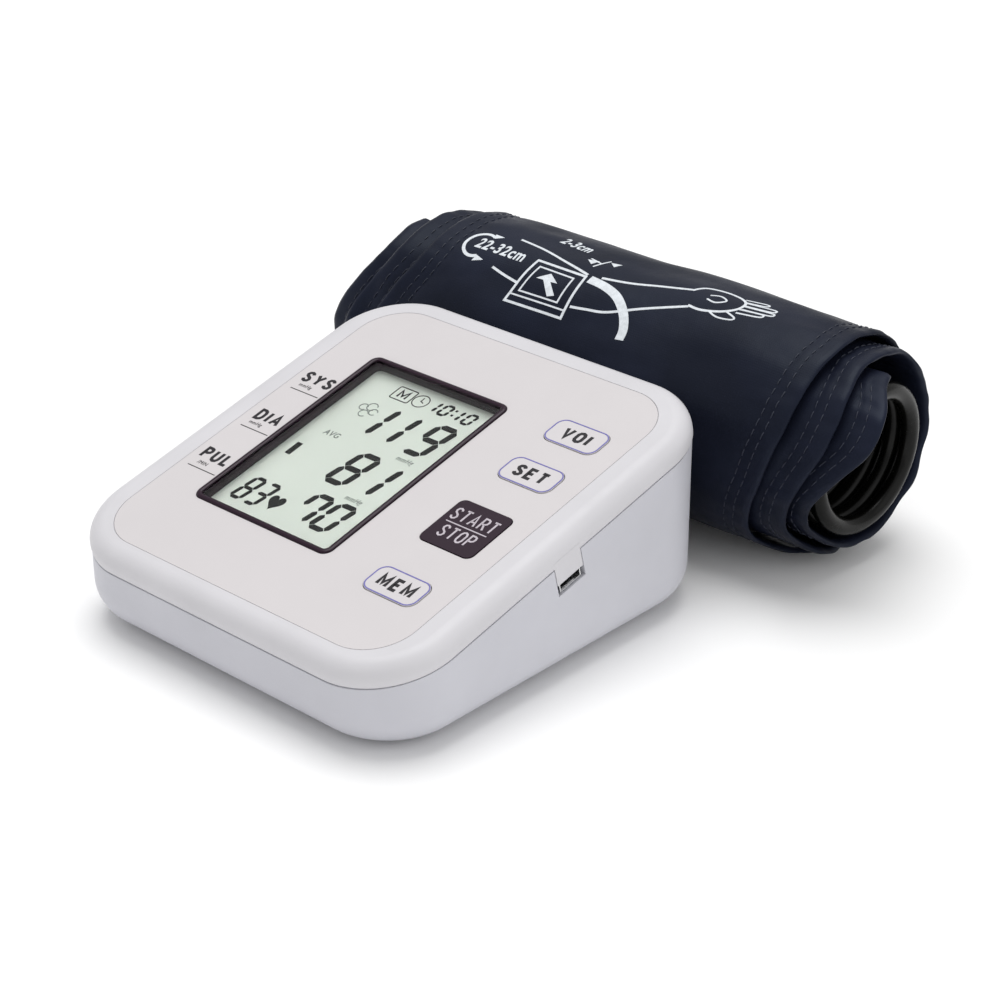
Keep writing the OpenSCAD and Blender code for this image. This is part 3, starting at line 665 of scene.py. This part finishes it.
def make_display():
    low, high = on_face("lcd_panel")
    mid_x, mid_s = (low.x + high.x) / 2, (low.y + high.y) / 2
    n = high.z + 0.02 * MM
    lean = 0.16

    def place(x, s):
        return at_face(mid_x + x * MM, mid_s + s * MM, n)

    figures = Flat()
    ones = [(-5.2, 8.7, 13.6, 1.85), (2.3, 8.7, 13.6, 1.85), (12.7, -9.7, 13.8, 1.85)]
    for x, s, h, bar in ones:
        digit(figures, "1", (x - 6.8) * MM, s * MM, 6.8 * MM, h * MM, bar * MM, lean)
    rows = [("9", 6.6, 8.7, 7.4, 13.8, 1.85, 0), ("8", -3.0, -9.8, 7.6, 14.0, 1.85, 0),
            ("70", -0.8, -25.2, 6.7, 11.6, 1.65, 1.0), ("83", -19.4, -26.4, 4.3, 9.6, 1.15, 0.8)]
    for signs, x, s, w, h, bar, space in rows:
        for i, sign in enumerate(signs):
            digit(figures, sign, (x + i * (w + space)) * MM, s * MM, w * MM, h * MM, bar * MM, lean)
    for sign, x in (("1", 0.0), ("0", 4.1), ("1", 7.9), ("0", 12.2)):
        digit(figures, sign, x * MM, 24.7 * MM, 3.2 * MM, 4.9 * MM, 0.85 * MM, lean)
    for y in (26.0, 28.0):
        figures.box(8.5 * MM, y * MM, 9.2 * MM, (y + 0.7) * MM)
    # bar of the pressure scale
    figures.box(-19.0 * MM, -6.4 * MM, -17.2 * MM, -1.4 * MM)
    # heart
    heart = []
    for i in range(40):
        t = 2 * math.pi * i / 40
        heart.append((16 * math.sin(t) ** 3,
                      13 * math.cos(t) - 5 * math.cos(2 * t) - 2 * math.cos(3 * t) - math.cos(4 * t)))
    figures.polygon([((-6.0 + 0.15 * hx) * MM, (-22.2 + 0.19 * hy) * MM) for hx, hy in heart])
    ride_on(figures.solid("lcd_figures", "segments", place(0, 0), PRINT_T), "case_and_cuff")

    marks = Flat()
    box = [((x - 8.5) * MM, (y + 27.0) * MM) for x, y in rounded(6.2, 5.0, 0.5, 3)]
    marks.line(box, 0.32 * MM)
    marks.line(arc(-2.5 * MM, 27.0 * MM, 2.4 * MM, 0, 360, 28), 0.28 * MM)
    marks.line([(-2.5 * MM, 28.5 * MM), (-2.5 * MM, 27.0 * MM), (-1.4 * MM, 26.6 * MM)], 0.28 * MM)
    ride_on(marks.solid("lcd_marks", "segments", place(0, 0), PRINT_T), "case_and_cuff")

    memory = capitals("lcd_memory_mark", "M", "segments", place(-8.5, 27.0), 3.4 * MM, 0.55 * MM, 0,
                      narrow=1.3)
    ride_on(memory, "case_and_cuff")

    faint = Flat()
    for cx, cy, r in ((-14.4, 18.0, 1.2), (-12.2, 19.0, 1.5), (-10.4, 17.4, 1.2), (-12.6, 15.9, 1.3)):
        faint.line(arc(cx * MM, cy * MM, r * MM, 20, 320, 14), 0.28 * MM)
    ride_on(faint.solid("lcd_beat_marks", "faint", place(0, 0), PRINT_T), "case_and_cuff")
    words = (("average_mark", "AVG", -13.5, 5.4, 2.0), ("upper_unit", "mmHg", 11.3, 6.2, 1.6),
             ("lower_unit", "mmHg", 11.0, -11.9, 1.6))
    for name, text, x, s, height in words:
        words_obj = lettering("lcd_" + name, text, "faint", place(x, s), height * MM, PRINT_T, narrow=0.85,
                              lean=0.1, bold=0.02)
        ride_on(words_obj, "case_and_cuff")


def make_frame_bead():
    """The display frame's raised round edge, laid on the frame's flat border."""
    high = on_face("display_frame")[1]
    window_low, window_high = on_face("display_window")
    mid_x, mid_s = (window_low.x + window_high.x) / 2, (window_low.y + window_high.y) / 2
    wide, tall = window_high.x - window_low.x + 1.9 * MM, window_high.y - window_low.y + 1.9 * MM
    width, rise, sides = 1.55 * MM, 0.42 * MM, 10
    line = rounded(wide - width, tall - width, 2.6 * MM - width / 2, 10)[:-1]
    points, faces = [], []
    for i, here in enumerate(line):
        before, after = line[i - 1], line[(i + 1) % len(line)]
        dx, dy = after[0] - before[0], after[1] - before[1]
        long = math.hypot(dx, dy)
        out = (dy / long, -dx / long)
        for k in range(sides + 1):
            t = math.pi * k / sides
            off = -math.cos(t) * width / 2
            up = math.sin(t) ** 0.8 * rise
            points.append(FACE @ Vector((mid_x + here[0] + out[0] * off, mid_s + here[1] + out[1] * off,
                                         high.z - 0.05 * MM + up)))
    count = sides + 1
    for i in range(len(line)):
        j = (i + 1) % len(line)
        for k in range(count):
            m = (k + 1) % count
            faces.append((i * count + k, i * count + m, j * count + m, j * count + k))
    bead = make_mesh("display_frame_bead", points, faces, "bezel", smooth=True)
    ride_on(bead, "case_and_cuff")


def ride_on(obj, body):
    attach(obj, body)
    return obj


# ---------- print on the face and the keys ----------

def make_face_print():
    frame_low = on_face("display_frame")[0]
    label_x = frame_low.x - 5.0 * MM
    top = 0.0
    for name, word, unit, s in (("upper", "SYS", "mmHg", 72.4), ("lower", "DIA", "mmHg", 54.2),
                                ("pulse", "PUL", "/MIN", 35.6)):
        obj = capitals("print_" + name, word, "ink", at_face(label_x, s * MM, top), 4.5 * MM, 0.92 * MM,
                       1.75 * MM, narrow=0.98)
        ride_on(obj, "case_and_cuff")
        obj = lettering("print_unit_" + name, unit, "ink", at_face(label_x - 1.4 * MM, (s - 3.7) * MM, top),
                        1.25 * MM, PRINT_T, narrow=0.9, spread=1.1, bold=0.0)
        ride_on(obj, "case_and_cuff")
        rule = Flat()
        rule.box(label_x - 4.7 * MM, (s - 5.9) * MM, frame_low.x + 0.2 * MM, (s - 5.66) * MM)
        ride_on(rule.solid("print_rule_" + name, "ink", at_face(0, 0, top), PRINT_T), "case_and_cuff")


def make_key_print():
    for node, word in (("memory_key", "MEM"), ("set_key", "SET"), ("voice_key", "VOI")):
        body = node + "_body"
        low, high = key_top(node)
        x, s = (low.x + high.x) / 2, (low.y + high.y) / 2
        w, l = high.x - low.x, high.y - low.y
        outline = Flat()
        outline.line(rounded(w - 0.5 * MM, l - 0.5 * MM, 2.55 * MM, 10), 0.36 * MM)
        edge = outline.solid(node + "_outline", "blue_ink", at_face(x, s, high.z), PRINT_T)
        ride_on(edge, body)
        text = capitals(node + "_word", word, "ink", at_face(x, s, high.z), 4.4 * MM, 0.95 * MM, 1.75 * MM)
        ride_on(text, body)
    low, high = key_top("start_stop_key")
    x, s = (low.x + high.x) / 2, (low.y + high.y) / 2
    for name, word, up in (("start", "START", 3.2), ("stop", "STOP", -3.2)):
        place = at_face(x, s + up * MM, high.z)
        text = capitals("start_stop_key_" + name, word, "pale_ink", place, 4.4 * MM, 0.52 * MM, 1.15 * MM,
                        narrow=0.78)
        ride_on(text, "start_stop_key_body")
    rule = Flat()
    rule.box(-6.4 * MM, -0.17 * MM, 6.4 * MM, 0.17 * MM)
    ride_on(rule.solid("start_stop_key_rule", "pale_ink", at_face(x, s, high.z), PRINT_T),
            "start_stop_key_body")


def key_top(node):
    """The key's own face above the overlay, in face coordinates: its flange below is left out."""
    back = FACE.inverted()
    places = [back @ v.co for v in nodes[node].data.vertices]
    top = max(p.z for p in places)
    places = [p for p in places if p.z > top - 0.05 * MM]
    low = Vector((min(p.x for p in places), min(p.y for p in places), top))
    high = Vector((max(p.x for p in places), max(p.y for p in places), top))
    return low, high


# ---------- cuff ----------

sleeve_lo, sleeve_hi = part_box("cuff_sleeve")
ROLL_R = 32.2 * MM
ROLL_STEP = 3.3 * MM
SLEEVE_T = 2.5 * MM
ROLL_Y = sleeve_hi.y - (ROLL_R - ROLL_STEP * 0.75)
ROLL_Z = sleeve_lo.z + ROLL_R
ROLL_TURN = 900.0
FIRST_ANGLE = -88.0
# Left and right edges of the band in each turn, from the outside in.
BANDS = ((sleeve_lo.x + 18 * MM, sleeve_hi.x - 8 * MM), (sleeve_lo.x + 8 * MM, sleeve_hi.x - 2 * MM),
         (sleeve_lo.x, sleeve_hi.x))


def smooth(t):
    t = min(1.0, max(0.0, t))
    return t * t * (3 - 2 * t)


def bulge(angle, centre, reach):
    """1 at centre, falling smoothly to 0 reach degrees away."""
    away = abs((angle - centre + 180) % 360 - 180)
    return 0.5 + 0.5 * math.cos(math.pi * min(1.0, away / reach))


def edges(turn):
    """Left and right edge of the sleeve at a turn angle. The hems fan out at the left of the front and draw
    in at the lower right, and they wave slowly."""
    share = turn / 360.0
    blend_1 = smooth((share - 0.93) / 0.14)
    blend_2 = smooth((share - 1.93) / 0.14)
    left = BANDS[0][0] + (BANDS[1][0] - BANDS[0][0]) * blend_1 + (BANDS[2][0] - BANDS[1][0]) * blend_2
    right = BANDS[0][1] + (BANDS[1][1] - BANDS[0][1]) * blend_1 + (BANDS[2][1] - BANDS[1][1]) * blend_2
    angle = FIRST_ANGLE - turn
    left += (3.0 - 12.0 * bulge(angle, 195, 75)) * MM
    right += (1.0 + 1.5 * blend_1 + 2.0 * blend_2 - (11.0 - 3.0 * blend_1) * bulge(angle, 225, 78)) * MM
    right += (3.0 * blend_1 + 6.0 * blend_2) * bulge(angle, 140, 62) * MM
    left += 0.7 * MM * noise(Vector((turn / 38.0, 3.1, 0.0)))
    right += 1.2 * MM * noise(Vector((turn / 27.0, 9.7, 0.0)))
    return left, right


def roll_shift(angle, x):
    """How far the whole roll stands out or in at an angle and a place along it: the same for each layer, so
    that they never cross."""
    t = math.radians(angle)
    near_end = smooth((x - (BANDS[0][1] - 26 * MM)) / (30 * MM))
    near_start = smooth(((BANDS[0][0] + 22 * MM) - x) / (26 * MM))
    ripple = noise(Vector((4.2 * math.cos(t), 4.2 * math.sin(t), x / (17 * MM))))
    pleat = noise(Vector((2.1 * math.cos(t) + 5, 2.1 * math.sin(t), x / (60 * MM) + 2)))
    shift = 0.35 * ripple + 0.55 * pleat
    shift += near_end * 1.1 * noise(Vector((2.8 * math.cos(t) + 9, 2.8 * math.sin(t), 1.0)))
    shift += near_start * 0.9 * noise(Vector((2.6 * math.cos(t) - 9, 2.6 * math.sin(t), 4.0)))
    # the ends stand up where no outer layer holds them
    past_first = smooth((BANDS[0][0] + 3 * MM - x) / (10 * MM))
    past_second = smooth((BANDS[1][0] + 1 * MM - x) / (7 * MM))
    shift += 1.6 * past_first + 2.0 * past_second
    shift += 0.5 * smooth((x - BANDS[0][1]) / (8 * MM))
    return shift * MM


def sleeve_radius(turn, x, from_left, from_right, inner):
    """Radius of the sleeve's outer or inner face."""
    angle = FIRST_ANGLE - turn
    radius = ROLL_R - ROLL_STEP * turn / 360.0
    edge = min(from_left, from_right)
    # flat hem, seam pulled in, then the padded part
    hem = smooth(edge / (1.2 * MM))
    inner_row = math.exp(-((edge - 7.6 * MM) / (1.3 * MM)) ** 2)
    outer_row = math.exp(-((edge - 4.6 * MM) / (1.0 * MM)) ** 2)
    seam = inner_row + 0.6 * outer_row
    pad = smooth((edge - 7 * MM) / (9 * MM))
    thin = (0.85 * (1 - hem) + 0.55 * (1 - pad)) * MM
    pucker = noise(Vector((turn / 7.5, edge / (9 * MM), 0.5 if from_left < from_right else 7.5)))
    near_seam = math.exp(-(max(0.0, edge - 6 * MM) / (9 * MM)) ** 2)
    ripple = 0.30 * MM * pucker * near_seam - 0.22 * MM * seam
    shift = roll_shift(angle, x) * smooth((radius - 22.5 * MM) / (4 * MM))
    if inner:
        return radius - SLEEVE_T + thin * 0.9 + shift - 0.15 * MM * pucker * near_seam
    outer = radius - thin * 0.6 + ripple + shift
    if turn < 360:
        # folds of the loose outer cloth, which nothing presses on
        fold = noise(Vector((turn / 21.0, x / (46 * MM), 11.0)))
        run = noise(Vector((turn / 60.0 + x / (34 * MM), x / (90 * MM), 21.0)))
        outer += (0.55 * fold + 0.75 * run) * MM * smooth(edge / (6 * MM))
    return outer


def sleeve_point(turn, x, inner=False, lift=0.0):
    left, right = edges(turn)
    radius = sleeve_radius(turn, x, x - left, right - x, inner) + lift
    t = math.radians(FIRST_ANGLE - turn)
    # the underside lies flat on the table
    height = max(ROLL_Z + radius * math.sin(t), (1.5 if inner else 0.5) * MM)
    return Vector((x, ROLL_Y + radius * math.cos(t), height))


def make_sleeve():
    """The padded nylon sleeve, rolled up: both faces of one long bag with its hems."""
    across, steps = 150, 640
    turns = [ROLL_TURN * i / steps for i in range(steps + 1)]
    points, faces, uvs = [], [], []
    arc_length = 0.0
    for i, turn in enumerate(turns):
        left, right = edges(turn)
        if i:
            arc_length += math.radians(ROLL_TURN / steps) * (ROLL_R - ROLL_STEP * turn / 360)
        ring = []
        for k in range(across + 1):
            share = k / across
            # columns are closer together at both hems
            share = share * 0.72 + 0.28 * (0.5 - 0.5 * math.cos(math.pi * share))
            x = left + (right - left) * share
            ring.append((sleeve_point(turn, x), x))
        for k in range(across, -1, -1):
            x = ring[k][1]
            ring.append((sleeve_point(turn, x, inner=True), x))
        for place, x in ring:
            points.append(place)
            uvs.append((arc_length, x))
    count = 2 * (across + 1)
    for i in range(len(turns) - 1):
        for k in range(count):
            a, b = i * count + k, i * count + (k + 1) % count
            faces.append((a, b, b + count, a + count))
    # close both ends of the strip
    for i, flip in ((0, False), (len(turns) - 1, True)):
        for k in range(across):
            a, b = i * count + k, i * count + k + 1
            c, d = i * count + count - 2 - k, i * count + count - 1 - k
            faces.append((a, d, c, b) if not flip else (a, b, c, d))
    obj = make_mesh("cuff_sleeve_fabric", points, faces, "nylon", smooth=True)
    layer = obj.data.uv_layers.new(name="cloth")
    for loop in obj.data.loops:
        layer.data[loop.index].uv = uvs[loop.vertex_index]
    work = bmesh.new()
    work.from_mesh(obj.data)
    bmesh.ops.recalc_face_normals(work, faces=work.faces)
    work.to_mesh(obj.data)
    work.free()
    ride_on(obj, "case_and_cuff")
    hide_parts("cuff_sleeve", "cuff_bladder")


def make_stitches():
    """Two rows of thread along each hem of the layers that show."""
    points, faces = [], []
    for side in (0, 1):
        for inset in (4.6 * MM, 7.6 * MM):
            turn = 6.0
            while turn < 880:
                radius = ROLL_R - ROLL_STEP * turn / 360
                step = math.degrees(2.9 * MM / radius)
                line = []
                for i in range(5):
                    here = turn + step * 0.74 * i / 4
                    x = edges(here)[side] + (inset if side == 0 else -inset)
                    sink = 0.16 * MM if i in (0, 4) else -0.10 * MM
                    line.append(sleeve_point(here, x, lift=-sink))
                first = len(points)
                more, quads = swept(line, 0.17 * MM, 6)
                points += more
                faces += [tuple(first + v for v in q) for q in quads]
                turn += step
    obj = make_mesh("cuff_stitching", points, faces, "thread", smooth=True)
    ride_on(obj, "case_and_cuff")


# The print on the cuff is laid out with x in millimetres along the roll from the case's middle, and with an
# angle in degrees round the roll, where 90 is the top.
PRINT_R = 32.0 * MM


def cuff_print_point(x, up, lift):
    """x in metres from the case's middle, up in metres of cloth, from the front towards the top."""
    angle = 180.0 - math.degrees(up / PRINT_R)
    turn = FIRST_ANGLE - angle + 360.0
    return sleeve_point(turn, x + face_x, lift=lift)


def laid(name, outlines, key):
    """Flat outlines cut into small pieces and laid on the cuff, as a thin solid."""
    work = bmesh.new()
    for outline in outlines:
        corners = [work.verts.new((x, y, 0)) for x, y in outline]
        flat = [v.co.copy() for v in corners]
        for a, b, c in tessellate_polygon([flat]):
            turn = (flat[b] - flat[a]).cross(flat[c] - flat[a]).z
            if abs(turn) < 1e-12:
                continue
            order = (a, b, c) if turn > 0 else (a, c, b)
            work.faces.new([corners[i] for i in order])
    for _ in range(4):
        long = [e for e in work.edges if e.calc_length() > 1.6 * MM]
        if not long:
            break
        bmesh.ops.subdivide_edges(work, edges=long, cuts=1)
        bmesh.ops.triangulate(work, faces=[f for f in work.faces if len(f.verts) > 3])
    flat_points = [v.co.copy() for v in work.verts]
    work.verts.index_update()
    tris = [tuple(v.index for v in f.verts) for f in work.faces]
    rims = [(e.verts[0].index, e.verts[1].index, e) for e in work.edges if len(e.link_faces) == 1]
    count = len(flat_points)
    points = [cuff_print_point(p.x, p.y, 0.11 * MM) for p in flat_points]
    points += [cuff_print_point(p.x, p.y, -0.15 * MM) for p in flat_points]
    faces = list(tris) + [tuple(count + i for i in reversed(t)) for t in tris]
    for a, b, e in rims:
        loop = e.link_loops[0]
        if loop.vert.index != a:
            a, b = b, a
        faces.append((b, a, a + count, b + count))
    work.free()
    obj = make_mesh(name, points, faces, key)
    ride_on(obj, "case_and_cuff")
    return obj


def up_at(angle):
    """Metres of cloth up from the front of the roll to an angle in degrees, where 90 is the top."""
    return math.radians(180 - angle) * PRINT_R


def spot(x, angle):
    return (x * MM, up_at(angle))


def curve_through(places, steps=10):
    """A smooth line through places, Catmull-Rom."""
    out = []
    last = len(places) - 1
    for i in range(last):
        p = [places[max(0, min(last, i + d))] for d in (-1, 0, 1, 2)]
        for k in range(steps):
            t = k / steps
            out.append(tuple(
                0.5 * (2 * p[1][c] + (p[2][c] - p[0][c]) * t
                       + (2 * p[0][c] - 5 * p[1][c] + 4 * p[2][c] - p[3][c]) * t * t
                       + (3 * p[1][c] - p[0][c] - 3 * p[2][c] + p[3][c]) * t ** 3)
                for c in (0, 1)))
    return out + [places[-1]]


def make_cuff_print():
    art = Flat()
    thin, fine = 0.75 * MM, 0.5 * MM
    # circular arrow for the arm's girth
    ring_x, ring_up = -46.5 * MM, up_at(113.5)
    ring = [(ring_x + 4.4 * MM * math.cos(math.radians(a)), ring_up + 5.0 * MM * math.sin(math.radians(a)))
            for a in range(60, 301, 12)]
    art.line(ring, 1.0 * MM)
    art.polygon([spot(-44.2, 106.6), spot(-45.2, 103.0), spot(-41.9, 103.4)])
    art.polygon([spot(-44.3, 120.8), spot(-44.6, 124.8), spot(-41.3, 122.4)])
    # upper arm
    art.line(curve_through([spot(-37, 100.6), spot(-27, 103.2), spot(-17, 107.5), spot(-8.5, 111.0)]), thin)
    art.line(curve_through([spot(-37, 124.4), spot(-32, 126.5), spot(-26.5, 128.3)]), thin)
    # cuff round the arm, with its air bag and an arrow
    art.line([spot(-25.5, 112), spot(-8.6, 112.4), spot(-7.6, 138.5), spot(-27.2, 139),
              spot(-25.5, 112)], thin)
    art.line([spot(-23.4, 115.5), spot(-11.5, 115.8), spot(-11.2, 131.5), spot(-24.6, 131.8),
              spot(-23.4, 115.5)], fine)
    art.line([spot(-27.0, 134.6), spot(-7.8, 134.2)], fine)
    art.polygon([spot(-18.6, 117.5), spot(-21.8, 122.5), spot(-19.4, 122.3), spot(-15.2, 130.2),
                 spot(-13.2, 128.6), spot(-17.0, 122.2), spot(-14.8, 121.8)])
    # air hose leaving the cuff
    hose = curve_through([spot(-7.0, 113.2), spot(-1.0, 114.6), spot(4.5, 118.2), spot(9.0, 125.0),
                          spot(11.8, 133.0), spot(12.4, 139.0)])
    art.line(hose, 2.6 * MM)
    # forearm
    art.line(curve_through([spot(-4.0, 110.2), spot(4, 107.5), spot(13, 102.5), spot(22, 97.5)]), thin)
    art.line(curve_through([spot(-6.8, 131.2), spot(-2, 129.8), spot(4.8, 127.2), spot(15, 117.5),
                            spot(24.6, 109.2)]), thin)
    # hand: palm and four fingers with a thumb, drawn as loops
    palm = [spot(21.5, 98.2), spot(24, 92.5), spot(29.5, 90.2), spot(34.5, 91.5), spot(37.5, 95.5),
            spot(37.3, 101.5), spot(34, 106.2), spot(28.5, 109.0), spot(24.2, 108.6)]
    art.line(curve_through(palm), thin)
    for x, a, reach in ((36.0, 92.8, 7.0), (37.4, 95.8, 9.0), (37.8, 99.2, 9.2), (37.2, 102.6, 7.8)):
        tip = x + reach
        art.line(curve_through([spot(x, a - 1.3), spot(tip - 1.2, a - 3.2), spot(tip, a - 2.2),
                                spot(tip - 1.2, a - 0.6), spot(x + 0.6, a + 1.4)], 6), fine)
    art.line(curve_through([spot(30.5, 108.0), spot(34.0, 110.2), spot(38.0, 109.4), spot(38.6, 107.4),
                            spot(35.2, 105.2)], 6), fine)
    art.line(curve_through([spot(27.2, 98.0), spot(30, 96.2), spot(32.6, 98.6), spot(30.4, 102.0),
                            spot(27.4, 101.2)], 6), fine)
    # the gap to keep above the elbow
    art.line([spot(-13.2, 97.8), spot(-8.6, 100.2)], fine)
    art.polygon([spot(-13.6, 99.6), spot(-11.0, 103.0), spot(-10.0, 98.4)])
    art.polygon([spot(-3.6, 95.2), spot(-6.8, 96.6), spot(-4.6, 99.6)])
    art.line([spot(-9.6, 104.6), spot(-7.4, 95.2)], fine)
    laid("cuff_print_drawing", art.outlines, "white_ink")
    for name, words, x, angle, height, slant in (("girth", "22-32cm", -38.6, 112.6, 4.4, 0.0),
                                                 ("gap", "2-3cm", -22.0, 88.6, 4.0, -0.1)):
        text = lettering("cuff_print_" + name, words, "white_ink", Matrix.Identity(4), height * MM,
                         0.02 * MM, narrow=0.74, spread=1.12, bold=0.03)
        turned = Matrix.Rotation(slant, 4, "Z")
        mesh = text.data
        mesh.transform(turned)
        for v in mesh.vertices:
            lift = 0.12 * MM if v.co.z > 0.01 * MM else -0.12 * MM
            v.co = cuff_print_point(x * MM + v.co.x, up_at(angle) + v.co.y, lift)
        ride_on(text, "case_and_cuff")


# ---------- all together ----------

make_camera()
make_hose()
make_stage()
paint_nodes()
make_display()
make_frame_bead()
make_face_print()
make_key_print()
make_sleeve()
make_stitches()
make_cuff_print()
